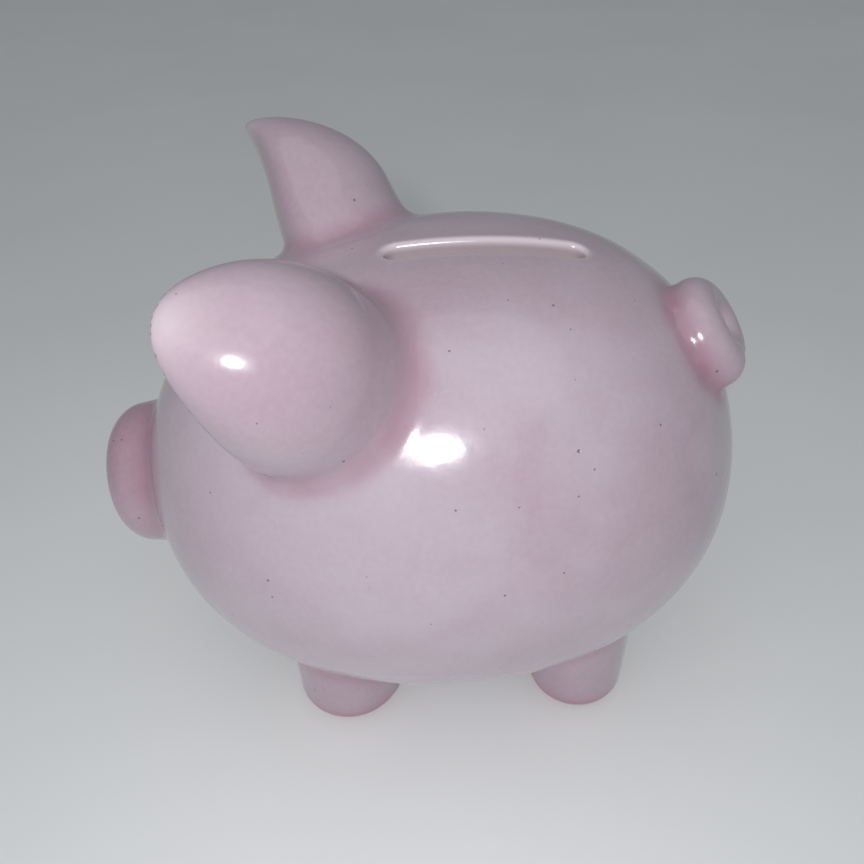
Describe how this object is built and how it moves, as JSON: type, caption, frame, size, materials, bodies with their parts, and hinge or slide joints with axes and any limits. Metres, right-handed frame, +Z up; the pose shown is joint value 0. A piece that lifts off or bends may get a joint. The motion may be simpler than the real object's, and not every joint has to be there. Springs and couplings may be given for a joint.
{
  "type": "figural animal coin bank",
  "caption": "Pig-shaped hollow ceramic coin bank with a slot along its back, applied ears, snout, tail and feet, and a soft stopper in the belly.",
  "frame": {"origin": "on the table, under the middle of the bank's box", "axes": "+X towards the tail, snout towards -X, +Y towards the pig's right side, +Z up"},
  "size_m": [0.1243, 0.0942, 0.1104],
  "materials": {
    "pink_glaze": "glossy pale dusty pink glaze",
    "dark_glaze": "glossy dark brown dab",
    "stopper_rubber": "matte translucent grey soft plug"
  },
  "bodies": {
    "bank": {"body_shell": "pink_glaze", "snout": "pink_glaze", "left_ear": "pink_glaze", "right_ear": "pink_glaze", "left_eye": "dark_glaze", "right_eye": "dark_glaze", "tail": "pink_glaze", "front_left_foot": "pink_glaze", "front_right_foot": "pink_glaze", "rear_left_foot": "pink_glaze", "rear_right_foot": "pink_glaze"},
    "stopper": {"belly_stopper": "stopper_rubber"}
  },
  "joints": [
    {"name": "stopper_pull", "type": "slide", "parent": "bank", "child": "stopper", "axis": [0, 0, -1], "range_m": [0, 0.018]}
  ]
}
